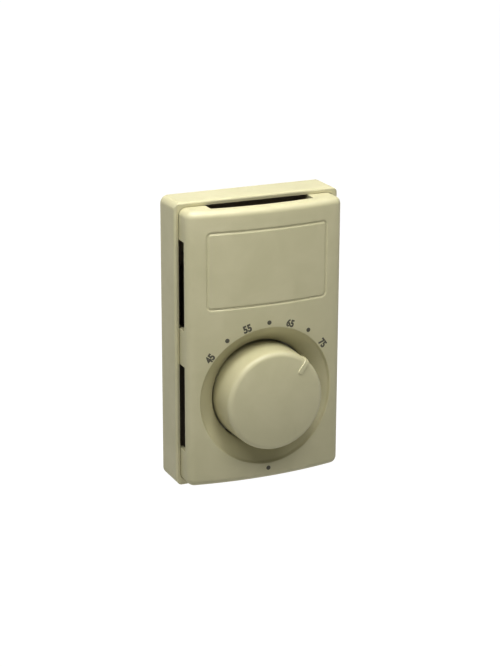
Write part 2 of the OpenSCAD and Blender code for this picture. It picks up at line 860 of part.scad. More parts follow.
module line_terminal() {
    color(brass) on_wall() layer(case_floor_d, case_floor_d + strip_t) {
        terminal_pad_plan(line_x);
        difference() {
            translate([arm_pivot[0] - load_strip_w / 2, 25]) square([load_strip_w, terminal_y - 3 - 25]);
            translate(arm_pivot) circle(arm_pin_r);
        }
    }
}

module terminal_screws() {
    color(steel) on_wall() for (x = [load_x, line_x])
        screw(x, terminal_y, 1.7, 1.4, case_floor_d + strip_t, 3.4, 2.4);
}

// ---- heat anticipator ----

module anticipator_core() {
    color(ceramic) on_wall() bar_y(heater_r, heater_y[0], heater_y[1], heater_x, heater_d);
}

module anticipator_winding() {
    color(bakelite) on_wall() difference() {
        bar_y(heater_r + 0.5, winding_y[0], winding_y[1], heater_x, heater_d);
        bar_y(heater_r, winding_y[0] - through, winding_y[1] + through, heater_x, heater_d);
    }
}

module anticipator_clips() {
    t = 0.6;
    color(brass) on_wall() difference() {
        for (f = clip_feet) {
            translate([heater_x - 3, f[1], case_d]) cube([6, t, 9.4]);
            translate([heater_x - 3, min(f[0] - 2.4, f[1]), case_d])
                cube([6, abs(f[0] - f[1]) + 2.4 + t / 2, t]);
        }
        bar_y(heater_r, heater_y[0] - 1, heater_y[1] + 1, heater_x, heater_d);
        for (f = clip_feet) translate([heater_x, f[0], 0]) cylinder(r = 1.1, h = 2 * case_d);
    }
}

module anticipator_screws() {
    color(steel) on_wall() for (f = clip_feet)
        screw(heater_x, f[0], 1.1, 1.4, case_d + 0.6, 2, 1.3);
}

rear_base();
insulating_sheet();
mounting_frame();
frame_screws();
shaft_bushing();
friction_washer();
lever_pin();
stop_pin();
lever_spring();
switch_case();
switch_lid();
switch_screws();
line_terminal();
load_terminal();
terminal_screws();
fixed_contact();
contact_pivot_pin();
arm_return_spring();
anticipator_core();
anticipator_winding();
anticipator_clips();
anticipator_screws();
cover_clip(-1);  // cover_clip_left
cover_clip(1);  // cover_clip_right
clip_screws();
front_cover();
setting_shaft();
setting_cam();
shaft_retaining_ring();
setting_knob();
knob_spring_clip();
range_lever();
bimetal_blade();
bimetal_rivets();
calibration_screw();
calibration_nut();
switch_plunger();
contact_arm();
moving_contact();
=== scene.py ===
"""Looks of the line-voltage wall thermostat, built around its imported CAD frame.

Lengths are in millimetres until a mesh is made. The plan used for shapes is x to the right, y up and
d out from the wall, and to_frame() turns it into the frame's metres, where -Y points out of the wall.
"""

import math

import bmesh
import bpy
from mathutils import Matrix, Vector
from mathutils.geometry import delaunay_2d_cdt


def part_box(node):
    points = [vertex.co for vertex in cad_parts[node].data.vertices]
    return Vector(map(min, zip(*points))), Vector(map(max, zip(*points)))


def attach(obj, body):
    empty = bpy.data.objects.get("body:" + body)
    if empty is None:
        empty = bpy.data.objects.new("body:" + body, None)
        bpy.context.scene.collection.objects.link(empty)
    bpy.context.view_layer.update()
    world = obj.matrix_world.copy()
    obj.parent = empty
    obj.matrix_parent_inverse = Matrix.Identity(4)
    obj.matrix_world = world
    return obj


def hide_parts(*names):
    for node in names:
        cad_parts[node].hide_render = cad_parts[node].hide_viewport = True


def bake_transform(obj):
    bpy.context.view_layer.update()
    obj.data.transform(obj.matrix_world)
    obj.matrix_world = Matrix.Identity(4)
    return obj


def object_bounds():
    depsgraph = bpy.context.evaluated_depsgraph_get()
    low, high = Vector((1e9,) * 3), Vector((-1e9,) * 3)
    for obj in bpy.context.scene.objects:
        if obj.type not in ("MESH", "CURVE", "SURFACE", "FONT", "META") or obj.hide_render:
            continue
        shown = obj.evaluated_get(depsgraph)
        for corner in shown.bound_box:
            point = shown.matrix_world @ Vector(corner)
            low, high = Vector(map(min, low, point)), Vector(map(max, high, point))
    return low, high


MM = 0.001
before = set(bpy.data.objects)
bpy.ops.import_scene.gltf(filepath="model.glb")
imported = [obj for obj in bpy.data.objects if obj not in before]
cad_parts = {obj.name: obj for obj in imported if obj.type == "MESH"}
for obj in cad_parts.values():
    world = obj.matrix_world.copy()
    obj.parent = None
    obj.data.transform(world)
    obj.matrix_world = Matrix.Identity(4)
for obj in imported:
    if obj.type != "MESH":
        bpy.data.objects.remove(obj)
cad_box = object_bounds()


# ---- places, from the frame ----


def to_frame(x, y, d):
    return Vector((x * MM, -d * MM, y * MM))


def plan_box(node):
    """Lowest and highest (x, y, d) of a CAD node, in mm."""
    lo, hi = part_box(node)
    return (lo.x / MM, lo.z / MM, -hi.y / MM), (hi.x / MM, hi.z / MM, -lo.y / MM)


cover_lo, cover_hi = plan_box("front_cover")
knob_lo, knob_hi = plan_box("setting_knob")
shaft_lo, shaft_hi = plan_box("setting_shaft")

COVER_W = cover_hi[0] - cover_lo[0]
COVER_H = cover_hi[1] - cover_lo[1]
SKIRT_D = cover_lo[2]
FACE_D = cover_hi[2]
DIAL_Y = (shaft_lo[1] + shaft_hi[1]) / 2

# cover: the face bows about an upright axis and falls back this much at its side edges
BOW = 3.7
EDGE_R = 2.8
CORNER_R = 3.0
WALL = 2.0
BOW_R = ((COVER_W / 2) ** 2 + BOW**2) / (2 * BOW)
BOW_AXIS = FACE_D - BOW_R
SIDE_VENTS = ((8.0, 44.0), (-42.5, -7.0))
SIDE_VENT_D = 19.1
END_VENT_X = 22.0
END_VENT_BACK = 5.2

PANEL_W = 52.0
PANEL_H = 31.6
PANEL_Y = 32.5
PANEL_R = 2.1
GROOVE_W = 1.6
GROOVE_T = 0.4

DISH_R = 28.6
DISH_D = 19.0
DISH_STEP = 1.1  # depth of the steep step round the dish's edge
KNOB_R = (knob_hi[1] - knob_lo[1]) / 2
HOLE_R = KNOB_R + 0.5


def bow(x, inset=0.0):
    """Distance from the wall of the bowed face, or of a surface set back from it."""
    return BOW_AXIS + math.sqrt((BOW_R - inset) ** 2 - x * x)


# ---- mesh helpers ----


def make_object(name, bm, smooth_angle=35.0):
    """A mesh object from bm, smooth except where it turns by more than smooth_angle."""
    bmesh.ops.remove_doubles(bm, verts=bm.verts, dist=1e-7)
    bmesh.ops.recalc_face_normals(bm, faces=bm.faces)
    mesh = bpy.data.meshes.new(name)
    bm.to_mesh(mesh)
    bm.free()
    for polygon in mesh.polygons:
        polygon.use_smooth = True
    mesh.set_sharp_from_angle(angle=math.radians(smooth_angle))
    obj = bpy.data.objects.new(name, mesh)
    bpy.context.scene.collection.objects.link(obj)
    return obj


def add_loop(bm, points):
    return [bm.verts.new(to_frame(*p)) for p in points]


def bridge(bm, one, other, skip=()):
    """Quads between two closed loops of the same length, without the segments in skip."""
    count = len(one)
    for i in range(count):
        if i not in skip:
            j = (i + 1) % count
            bm.faces.new((one[i], one[j], other[j], other[i]))


def soften_edges(obj, width, angle=40.0, segments=2):
    """Small rounding on every sharp edge, as a moulded or stamped piece has."""
    bevel = obj.modifiers.new("edge_rounding", "BEVEL")
    bevel.width = width * MM
    bevel.segments = segments
    bevel.limit_method = "ANGLE"
    bevel.angle_limit = math.radians(angle)
    bevel.use_clamp_overlap = True
    bevel.harden_normals = True
    return obj


def sweep(bm, path, radius, sides=10, closed=False):
    """A round wire along path, a list of plan points."""
    points = [Vector(p) for p in path]
    count = len(points)
    side = None
    rings = []
    for i, point in enumerate(points):
        before = points[i - 1] if i > 0 or closed else point
        after = points[(i + 1) % count] if i < count - 1 or closed else point
        along = (after - before).normalized()
        if side is None:
            side = along.orthogonal()
        side = (side - along * side.dot(along)).normalized()
        up = along.cross(side)
        ring = []
        for k in range(sides):
            a = math.tau * k / sides
            ring.append(point + radius * (math.cos(a) * side + math.sin(a) * up))
        rings.append(add_loop(bm, ring))
    for i in range(count - 1):
        bridge(bm, rings[i], rings[i + 1])
    if closed:
        bridge(bm, rings[-1], rings[0])
    else:
        bm.faces.new(rings[0])
        bm.faces.new(rings[-1])


# ---- front cover ----


def spread(from_, to, step):
    """Numbers from one end to the other, both included, about step apart."""
    count = max(1, round(abs(to - from_) / step))
    return [from_ + (to - from_) * i / count for i in range(count + 1)]


def side_stops(half, stops, step):
    """Places along one straight side, with every stop among them."""
    marks = sorted({-half, half, *stops})
    places = [marks[0]]
    for a, b in zip(marks, marks[1:]):
        places += spread(a, b, step)[1:]
    return places


CORNER_STEPS = 8
END_PLACES = side_stops(COVER_W / 2 - CORNER_R, [-END_VENT_X, END_VENT_X], 2.5)
SIDE_PLACES = side_stops(COVER_H / 2 - CORNER_R, [y for v in SIDE_VENTS for y in v], 3.5)


def outline(inset):
    """Points of the cover's outline, set in, anticlockwise from the lower left corner."""
    cx, cy = COVER_W / 2 - CORNER_R, COVER_H / 2 - CORNER_R
    x, y, r = COVER_W / 2 - inset, COVER_H / 2 - inset, CORNER_R - inset
    sides = (
        [(p, -y) for p in END_PLACES],
        [(x, p) for p in SIDE_PLACES],
        [(p, y) for p in reversed(END_PLACES)],
        [(-x, p) for p in reversed(SIDE_PLACES)],
    )
    corners = ((cx, -cy, -90), (cx, cy, 0), (-cx, cy, 90), (-cx, -cy, 180))
    points = []
    for side, (ox, oy, start) in zip(sides, corners):
        points += side
        for k in range(1, CORNER_STEPS):
            a = math.radians(start + 90 * k / CORNER_STEPS)
            points.append((ox + r * math.cos(a), oy + r * math.sin(a)))
    return points


def vent_front(x, y):
    """How far from the wall the vents reach at a place on the outline."""
    if abs(y) > COVER_H / 2 - CORNER_R + 0.01 and abs(x) <= COVER_W / 2 - CORNER_R:
        return bow(min(abs(x), END_VENT_X)) - END_VENT_BACK
    return SIDE_VENT_D


def in_vent(a, b):
    """True if the stretch of outline between two points is open at the rear edge."""
    x, y = (a[0] + b[0]) / 2, (a[1] + b[1]) / 2
    if abs(y) > COVER_H / 2 - 0.01:
        return abs(x) < END_VENT_X
    if abs(x) > COVER_W / 2 - 0.01:
        return any(low < y < high for low, high in SIDE_VENTS)
    return False


def rounded_rect(width, height, radius, cy, steps=8):
    """Points of a rounded rectangle about (0, cy), anticlockwise."""
    points = []
    corners = ((1, -1, -90), (1, 1, 0), (-1, 1, 90), (-1, -1, 180))
    for i, (sx, sy, start) in enumerate(corners):
        ox, oy = sx * (width / 2 - radius), sy * (height / 2 - radius)
        arc = []
        for k in range(steps + 1):
            a = math.radians(start + 90 * k / steps)
            arc.append((ox + radius * math.cos(a), cy + oy + radius * math.sin(a)))
        points += arc
        nx, ny = corners[(i + 1) % 4][:2]
        after = (nx * (width / 2 - radius), cy + ny * (height / 2 - radius))
        a = math.radians(start + 90)
        target = (after[0] + radius * math.cos(a), after[1] + radius * math.sin(a))
        length = math.dist(arc[-1], target)
        count = round(length / 2.5)
        for k in range(1, count):
            t = k / count
            points.append(tuple(p + (q - p) * t for p, q in zip(arc[-1], target)))
    return points


def circle(radius, count=144):
    return [
        (
            radius * math.cos(math.tau * k / count),
            DIAL_Y + radius * math.sin(math.tau * k / count),
        )
        for k in range(count)
    ]


def inside(point, loop):
    x, y = point
    result = False
    for (ax, ay), (bx, by) in zip(loop, loop[1:] + loop[:1]):
        if (ay > y) != (by > y) and x < (bx - ax) * (y - ay) / (by - ay) + ax:
            result = not result
    return result


def near(point, loop, gap):
    return any(math.dist(point, p) < gap for p in loop)


def fill(bm, boundary, holes, depth):
    """Triangles over the plan between a loop of vertices and the loops in it, on the surface depth(x)."""
    loops = [boundary, *holes]
    plans = [[(v.co.x / MM, v.co.z / MM) for v in loop] for loop in loops]
    verts = [v for loop in loops for v in loop]
    edges = []
    start = 0
    for loop in loops:
        count = len(loop)
        edges += [(start + i, start + (i + 1) % count) for i in range(count)]
        start += count
    xs = [p[0] for p in plans[0]]
    ys = [p[1] for p in plans[0]]
    step = 2.5
    for gx in spread(min(xs), max(xs), step):
        for gy in spread(min(ys), max(ys), step):
            p = (gx, gy)
            if not inside(p, plans[0]) or any(inside(p, h) for h in plans[1:]):
                continue
            if any(near(p, loop, step * 0.6) for loop in plans):
                continue
            verts.append(bm.verts.new(to_frame(gx, gy, depth(gx))))
    coords = [Vector((v.co.x / MM, v.co.z / MM)) for v in verts]
    made = delaunay_2d_cdt(coords, edges, [], 0, 1e-6)
    used = [ids[0] for ids in made[3]]
    for face in made[2]:
        centre = sum((made[0][i] for i in face), Vector((0, 0))) / len(face)
        if inside(centre, plans[0]) and not any(inside(centre, h) for h in plans[1:]):
            bm.faces.new([verts[used[i]] for i in face])


def cover_skin(bm, inset):
    """One side of the cover's wall: rear edge, vent fronts, rounding and face loop, in that order."""
    plan = outline(inset)
    loops = [
        add_loop(bm, [(x, y, SKIRT_D) for x, y in plan]),
        add_loop(bm, [(x, y, vent_front(x, y)) for x, y in plan]),
    ]
    radius = EDGE_R - inset
    steps = 10 if inset == 0 else 4
    for k in range(steps + 1):
        a = math.radians(90 * k / steps)
        set_in = inset + radius * (1 - math.cos(a))
        drop = radius * (1 - math.sin(a))
        loops.append(
            add_loop(bm, [(x, y, bow(x, inset) - drop) for x, y in outline(set_in)])
        )
    return loops


def curve(a, corner, b, steps):
    """Points of a rounded corner from a to b."""
    points = []
    for k in range(steps + 1):
        t = k / steps
        points.append(
            tuple(
                (1 - t) ** 2 * p + 2 * t * (1 - t) * c + t * t * q
                for p, c, q in zip(a, corner, b)
            )
        )
    return points


def toward(a, b, length):
    """The point at a length from a on the way to b."""
    t = length / math.dist(a, b)
    return tuple(p + (q - p) * t for p, q in zip(a, b))


def dish_section(x_per_r):
    """Section of the dish from the face to the rear of its hole, as (radius, d).

    x_per_r is the sideways share of the radius, which says where on the bow the section lies.
    """
    rim = (DISH_R, bow(DISH_R * x_per_r))
    outside = (DISH_R + 1, bow((DISH_R + 1) * x_per_r))
    knee = (DISH_R - DISH_STEP / 2, rim[1] - DISH_STEP)
    inner = (HOLE_R, DISH_D)
    round_rim, round_knee, round_hole = 0.4, 0.5, 0.5
    section = curve(toward(rim, outside, round_rim), rim, toward(rim, knee, round_rim), 4)
    cone_from = toward(knee, inner, round_knee)
    cone_to = toward(inner, knee, round_hole)
    section += curve(toward(knee, rim, round_knee), knee, cone_from, 4)
    for k in range(1, 6):
        section.append(tuple(p + (q - p) * k / 6 for p, q in zip(cone_from, cone_to)))
    section += curve(cone_to, inner, (HOLE_R, DISH_D - round_hole), 4)
    section.append((HOLE_R, DISH_D - WALL + 0.2))
    return section


def dish_loops(bm):
    sections = []
    for x, y in circle(1.0):
        sections.append(((x, y - DIAL_Y), dish_section(x)))
    loops = []
    for k in range(len(sections[0][1])):
        points = []
        for (ux, uy), section in sections:
            r, d = section[k]
            points.append((ux * r, DIAL_Y + uy * r, d))
        loops.append(add_loop(bm, points))
    return loops


def groove_loops(bm):
    """Loops of the shallow groove round the panel, from its outside to its inside."""
    steps, guard = 12, 0.3
    section = [(-GROOVE_W / 2 - guard, 0)]
    for k in range(steps + 1):
        t = k / steps
        section.append((GROOVE_W * (t - 0.5), GROOVE_T * math.sin(math.pi * t) ** 2))
    section.append((GROOVE_W / 2 + guard, 0))
    loops = []
    for shift, depth in section:
        plan = rounded_rect(
            PANEL_W - 1 - 2 * shift, PANEL_H - 1 - 2 * shift, PANEL_R - 0.5 - shift, PANEL_Y
        )
        loops.append(add_loop(bm, [(x, y, bow(x) - depth) for x, y in plan]))
    return loops


def front_cover():
    bm = bmesh.new()
    outer = cover_skin(bm, 0.0)
    inner = cover_skin(bm, WALL)
    plan = outline(0.0)
    count = len(plan)
    open_parts = {i for i in range(count) if in_vent(plan[i], plan[(i + 1) % count])}
    closed_parts = set(range(count)) - open_parts
    for loops in (outer, inner):
        bridge(bm, loops[0], loops[1], skip=open_parts)
        for one, other in zip(loops[1:], loops[2:]):
            bridge(bm, one, other)
    bridge(bm, outer[0], inner[0], skip=open_parts)
    bridge(bm, outer[1], inner[1], skip=closed_parts)
    for i in range(count):
        if ((i - 1) % count in open_parts) != (i in open_parts):
            bm.faces.new((outer[0][i], outer[1][i], inner[1][i], inner[0][i]))

    dish = dish_loops(bm)
    for one, other in zip(dish, dish[1:]):
        bridge(bm, one, other)
    groove = groove_loops(bm)
    for one, other in zip(groove, groove[1:]):
        bridge(bm, one, other)
    fill(bm, outer[-1], [dish[0], groove[0]], bow)
    fill(bm, groove[-1], [], bow)

    behind = add_loop(bm, [(x, y, bow(x, WALL)) for x, y in circle(DISH_R + 1)])
    bridge(bm, behind, dish[-1])
    fill(bm, inner[-1], [behind], lambda x: bow(x, WALL))
    loose = [v for v in bm.verts if not v.link_faces]
    bmesh.ops.delete(bm, geom=loose, context="VERTS")
    obj = soften_edges(make_object("cover_shell", bm), 0.15)
    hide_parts("front_cover")
    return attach(obj, "cover")


# ---- knob ----

KNOB_BACK = knob_lo[2]
KNOB_FACE = knob_hi[2]
KNOB_FILLET = 2.4
KNOB_CROWN = 1.4
RIM_R = 20.5
KNOB_TOP_T = 1.8
HUB_R = 5.5
BORE_R = 3.05
BORE_END = 31.2
RIBS = 6
RIB_T = 1.2
RIB_FROM = 25.0
POINTER_TURN = math.radians(42)
POINTER_FROM = 14.2
POINTER_W = 2.0
POINTER_T = 0.4
POINTER_BACK = KNOB_FACE - KNOB_CROWN - 5.0


def smooth_step(t):
    t = min(1.0, max(0.0, t))
    return t * t * (3 - 2 * t)


def knob_angles():
    """Angles clockwise from straight up, close together where the pointer is."""
    half = math.radians(10)
    dense = [POINTER_TURN - half + 2 * half * k / 56 for k in range(57)]
    rest = [dense[-1] + (math.tau - 2 * half) * k / 150 for k in range(1, 150)]
    return dense + rest


def knob_outside():
    """The knob's outside from its skirt to the middle of its face, as (r, d, outward normal)."""
    fillet_x = RIM_R - KNOB_FILLET
    rise = KNOB_CROWN + KNOB_FILLET
    dome_r = (fillet_x**2 + rise**2 - KNOB_FILLET**2) / (2 * KNOB_CROWN)
    side_top = KNOB_FACE - rise
    slope = (KNOB_R - RIM_R) / (side_top - KNOB_BACK)
    side = Vector((1, slope)).normalized()
    section = []
    for d in spread(KNOB_BACK, side_top, 0.8):
        section.append((KNOB_R - slope * (d - KNOB_BACK), d, side))
    steps = 12
    last = math.acos(fillet_x / (dome_r - KNOB_FILLET))
    for k in range(1, steps + 1):
        a = last * k / steps
        normal = Vector((math.cos(a), math.sin(a)))
        section.append((fillet_x + KNOB_FILLET * normal.x, side_top + KNOB_FILLET * normal.y, normal))
    edge = section[-1][0]
    for r in [*spread(edge, POINTER_FROM - 1, 0.25)[1:], 10, 6, 2]:
        normal = Vector((r, dome_r)).normalized()
        section.append((r, KNOB_FACE - dome_r + math.sqrt(dome_r**2 - r * r), normal))
    return section


def pointer_height(r, d, angle):
    """How far the pointer stands out of the knob's surface at a place."""
    along, across = r * math.cos(angle - POINTER_TURN), r * math.sin(angle - POINTER_TURN)
    end = POINTER_FROM + POINTER_W / 2
    away = math.hypot(across, min(along - end, 0)) - POINTER_W / 2
    blend = 0.3
    height = smooth_step(0.5 - away / blend)
    return POINTER_T * height * smooth_step(d - POINTER_BACK + 0.5)


def lathe(bm, section, angles):
    """Rings of a section of (r, d) points turned about the dial's axis."""
    rings = []
    for r, d in section:
        rings.append(
            add_loop(bm, [(r * math.sin(a), DIAL_Y + r * math.cos(a), d) for a in angles])
        )
    for one, other in zip(rings, rings[1:]):
        bridge(bm, one, other)
    return rings


def knob():
    bm = bmesh.new()
    angles = knob_angles()
    rings = []
    for r, d, normal in knob_outside():
        points = []
        for a in angles:
            out = pointer_height(r, d, a)
            pr, pd = r + normal.x * out, d + normal.y * out
            points.append((pr * math.sin(a), DIAL_Y + pr * math.cos(a), pd))
        rings.append(add_loop(bm, points))
    for one, other in zip(rings, rings[1:]):
        bridge(bm, one, other)
    bm.faces.new(rings[-1])
    ceiling = KNOB_FACE - KNOB_CROWN - KNOB_TOP_T
    inside_rings = lathe(
        bm,
        [
            (KNOB_R - 1.9, KNOB_BACK),
            (RIM_R - 2.6, ceiling - 0.6),
            (RIM_R - 3.4, ceiling),
            (HUB_R + 0.5, ceiling),
            (HUB_R, ceiling - 0.5),
            (HUB_R, KNOB_BACK + 0.4),
            (HUB_R - 0.4, KNOB_BACK),
            (BORE_R + 0.3, KNOB_BACK),
            (BORE_R, KNOB_BACK + 0.4),
            (BORE_R, BORE_END),
        ],
        angles,
    )
    bridge(bm, rings[0], inside_rings[0])
    bm.faces.new(inside_rings[-1])
    for k in range(RIBS):
        turn = Matrix.Rotation(-math.tau * k / RIBS, 4, "Y")
        length = RIM_R - 2 - HUB_R
        place = Matrix.Translation(to_frame(0, DIAL_Y, 0)) @ turn
        middle = to_frame(0, HUB_R + length / 2, (RIB_FROM + ceiling + 0.5) / 2)
        size = Matrix.Diagonal((RIB_T * MM, (ceiling + 0.5 - RIB_FROM) * MM, length * MM, 1))
        bmesh.ops.create_cube(bm, size=1, matrix=place @ Matrix.Translation(middle) @ size)
    obj = soften_edges(make_object("knob_shell", bm), 0.15)
    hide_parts("setting_knob")
    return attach(obj, "knob")


# ---- printed scale ----

MARK_R = 30.8
MARK_H = 3.2
DOT_R = 0.9
NUMBER_TURNS = {"45": -53, "55": -17.7, "65": 17.7, "75": 53}
DOT_TURNS = (-35, 0, 35, 180)
INK_T = 0.02


def on_ring(turn):
    a = math.radians(turn)
    return MARK_R * math.sin(a), DIAL_Y + MARK_R * math.cos(a)


def add_print(bm, outlines, faces):
    """A thin layer of ink over flat shapes given as plan points and faces."""
    front = [bm.verts.new(to_frame(x, y, bow(x) + INK_T)) for x, y in outlines]
    for face in faces:
        bm.faces.new([front[i] for i in face])
    edges = [e for e in bm.edges if e.is_boundary and e.verts[0] in front]
    made = bmesh.ops.extrude_edge_only(bm, edges=edges)["geom"]
    for v in made:
        if isinstance(v, bmesh.types.BMVert):
            v.co.y += 2 * INK_T * MM


def number_shape(text):
    """Plan points and faces of a number, MARK_H tall and centred on the origin."""
    curve_data = bpy.data.curves.new("number", "FONT")
    curve_data.body = text
    curve_data.offset = 0.045
    curve_data.resolution_u = 3
    curve_data.align_x = "CENTER"
    holder = bpy.data.objects.new("number", curve_data)
    bpy.context.scene.collection.objects.link(holder)
    mesh = holder.to_mesh()
    points = [(v.co.x, v.co.y) for v in mesh.vertices]
    faces = [tuple(p.vertices) for p in mesh.polygons]
    holder.to_mesh_clear()
    bpy.data.objects.remove(holder)
    bpy.data.curves.remove(curve_data)
    low, high = min(p[1] for p in points), max(p[1] for p in points)
    scale = MARK_H / (high - low)
    middle = (low + high) / 2
    narrow = 0.88
    return [(x * scale * narrow, (y - middle) * scale) for x, y in points], faces


def scale_marks():
    bm = bmesh.new()
    for text, turn in NUMBER_TURNS.items():
        points, faces = number_shape(text)
        cx, cy = on_ring(turn)
        c, s = math.cos(math.radians(turn)), math.sin(math.radians(turn))
        add_print(bm, [(cx + x * c + y * s, cy - x * s + y * c) for x, y in points], faces)
    count = 24
    for turn in DOT_TURNS:
        cx, cy = on_ring(turn)
        points = []
        for k in range(count):
            a = math.tau * k / count
            points.append((cx + DOT_R * math.cos(a), cy + DOT_R * math.sin(a)))
        add_print(bm, points, [tuple(range(count))])
    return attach(make_object("scale_marks", bm), "cover")


# ---- springs and winding ----


def helix(start, end, radius, turns, phase=0.0, per_turn=20):
    """Points of a helix between two plan points, along x or along y."""
    a, b = Vector(start), Vector(end)
    along = (b - a).normalized()
    side = Vector((0, 0, 1))
    other = along.cross(side)
    points = []
    count = round(abs(turns) * per_turn)
    for k in range(count + 1):
        t = k / count
        angle = phase + math.tau * turns * t
        points.append(a.lerp(b, t) + radius * (math.cos(angle) * side + math.sin(angle) * other))
    return points


def arc(centre, radius, from_, to, d, steps=16):
    """Points of an arc in the plan, at one distance from the wall."""
    points = []
    for k in range(steps + 1):
        a = math.radians(from_ + (to - from_) * k / steps)
        points.append(Vector((centre[0] + radius * math.cos(a), centre[1] + radius * math.sin(a), d)))
    return points


def lever_spring():
    """Close wound extension spring with an eye over the peg at each end."""
    lo, hi = plan_box("lever_spring")
    x, d, wire, mean_r = (lo[0] + hi[0]) / 2, (lo[2] + hi[2]) / 2, 0.28, 1.2
    eye_r = 1.05
    low_eye, high_eye = lo[1] + eye_r + 0.3, hi[1] - eye_r - 0.3
    coil_from, coil_to = low_eye + 3.7, high_eye - 5.0
    turns = round((coil_to - coil_from) / (2.15 * wire))
    path = arc((x, low_eye), eye_r, 60, -270, d)
    path += helix((x, coil_from, d), (x, coil_to, d), mean_r, turns)
    path += arc((x, high_eye), eye_r, -90, 240, d)
    bm = bmesh.new()
    sweep(bm, path, wire, sides=8)
    obj = make_object("lever_spring_wire", bm)
    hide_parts("lever_spring")
    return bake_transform(obj)


def arm_spring():
    """Compression spring behind the contact arm."""
    lo, hi = plan_box("arm_return_spring")
    y, d, wire = (lo[1] + hi[1]) / 2, (lo[2] + hi[2]) / 2, 0.22
    mean_r = (hi[1] - lo[1]) / 2 - wire
    a, b = lo[0] + wire, hi[0] - wire
    path = helix((a, y, d), (a + 1.2, y, d), mean_r, 2)
    path += helix((a + 1.2, y, d), (b - 1.2, y, d), mean_r, 7)[1:]
    path += helix((b - 1.2, y, d), (b, y, d), mean_r, 2)[1:]
    bm = bmesh.new()
    sweep(bm, path, wire, sides=8)
    obj = make_object("arm_spring_wire", bm)
    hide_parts("arm_return_spring")
    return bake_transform(obj)


def heater_winding():
    """Fine resistance wire wound on the ceramic core, with an open turn to each clip."""
    lo, hi = plan_box("anticipator_winding")
    core_lo, core_hi = plan_box("anticipator_core")
    x, d, wire = (lo[0] + hi[0]) / 2, (lo[2] + hi[2]) / 2, 0.18
    mean_r = (core_hi[0] - core_lo[0]) / 2 + wire
    a, b = lo[1] + wire, hi[1] - wire
    turns = round((b - a) / (3 * wire))
    path = helix((x, core_lo[1] + 1.6, d), (x, a, d), mean_r, 1)
    path += helix((x, a, d), (x, b, d), mean_r, turns)[1:]
    path += helix((x, b, d), (x, core_hi[1] - 1.6, d), mean_r, 1)[1:]
    bm = bmesh.new()
    sweep(bm, path, wire, sides=8)
    obj = make_object("heater_winding", bm)
    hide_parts("anticipator_winding")
    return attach(obj, "housing")


# ---- materials ----


class Look:
    """A Principled material and short ways to vary it over the surface."""

    def __init__(self, name, colour, roughness, metallic=0.0):
        self.material = bpy.data.materials.new(name)
        self.material.use_nodes = True
        self.nodes = self.material.node_tree.nodes
        self.links = self.material.node_tree.links
        self.shader = self.nodes["Principled BSDF"]
        self.colour = colour
        self.roughness = roughness
        self.shader.inputs["Base Color"].default_value = (*colour, 1)
        self.shader.inputs["Roughness"].default_value = roughness
        self.shader.inputs["Metallic"].default_value = metallic
        self.coordinates = self.nodes.new("ShaderNodeTexCoord").outputs["Object"]
        self.normal = None

    def stretched(self, scale):
        mapping = self.nodes.new("ShaderNodeMapping")
        mapping.inputs["Scale"].default_value = scale
        self.links.new(self.coordinates, mapping.inputs["Vector"])
        return mapping.outputs["Vector"]

    def noise(self, size, detail=3.0, stretch=None, distortion=0.0):
        """Noise whose grains are about size mm across."""
        noise = self.nodes.new("ShaderNodeTexNoise")
        noise.inputs["Scale"].default_value = 1 / (size * MM)
        noise.inputs["Detail"].default_value = detail
        noise.inputs["Distortion"].default_value = distortion
        source = self.stretched(stretch) if stretch else self.coordinates
        self.links.new(source, noise.inputs["Vector"])
        return noise.outputs["Fac"]

    def mottle(self, factor, darker, lighter, low=0.3, high=0.7):
        """Base colour between two shades of the material's own colour."""
        ramp = self.nodes.new("ShaderNodeValToRGB")
        self.links.new(factor, ramp.inputs["Fac"])
        for element, place, shade in zip(ramp.color_ramp.elements, (low, high), (darker, lighter)):
            element.position = place
            element.color = (*(min(1.0, c * s) for c, s in zip(self.colour, shade)), 1)
        self.links.new(ramp.outputs["Color"], self.shader.inputs["Base Color"])
        return self

    def uneven(self, factor, amount):
        """Roughness that varies by amount about its own value."""
        spread_ = self.nodes.new("ShaderNodeMapRange")
        spread_.inputs["From Min"].default_value = 0.25
        spread_.inputs["From Max"].default_value = 0.75
        spread_.inputs["To Min"].default_value = self.roughness - amount
        spread_.inputs["To Max"].default_value = self.roughness + amount
        self.links.new(factor, spread_.inputs["Value"])
        self.links.new(spread_.outputs["Result"], self.shader.inputs["Roughness"])
        return self

    def bump(self, factor, height):
        """Relief of height mm, added to any relief that is already there."""
        bump = self.nodes.new("ShaderNodeBump")
        bump.inputs["Strength"].default_value = 1.0
        bump.inputs["Distance"].default_value = height * MM
        self.links.new(factor, bump.inputs["Height"])
        if self.normal:
            self.links.new(self.normal, bump.inputs["Normal"])
        self.normal = bump.outputs["Normal"]
        self.links.new(self.normal, self.shader.inputs["Normal"])
        return self


def moulded(name, colour, roughness, grain=0.35, relief=0.012):
    """Injection moulded plastic: a fine eroded texture over faint flow marks."""
    look = Look(name, colour, roughness)
    look.mottle(look.noise(14, 4, distortion=0.6), (0.965, 0.97, 0.955), (1.03, 1.03, 1.04))
    look.uneven(look.noise(3), 0.05)
    look.bump(look.noise(grain, 2), relief)
    look.bump(look.noise(6, 2), 0.01)
    look.shader.inputs["IOR"].default_value = 1.5
    return look.material


def plated(name, colour, roughness, grain=0.25, stretch=None, tint=(1.06, 1.03, 0.94)):
    """Plated or bright metal: fine drawing lines, faint tinted patches and small dents."""
    look = Look(name, colour, roughness, metallic=1.0)
    look.mottle(look.noise(5, 4, distortion=1.0), (0.88, 0.88, 0.89), tint)
    look.uneven(look.noise(1.5, 4), 0.09)
    look.bump(look.noise(grain, 2, stretch=stretch), 0.006)
    look.bump(look.noise(4, 1), 0.01)
    return look.material


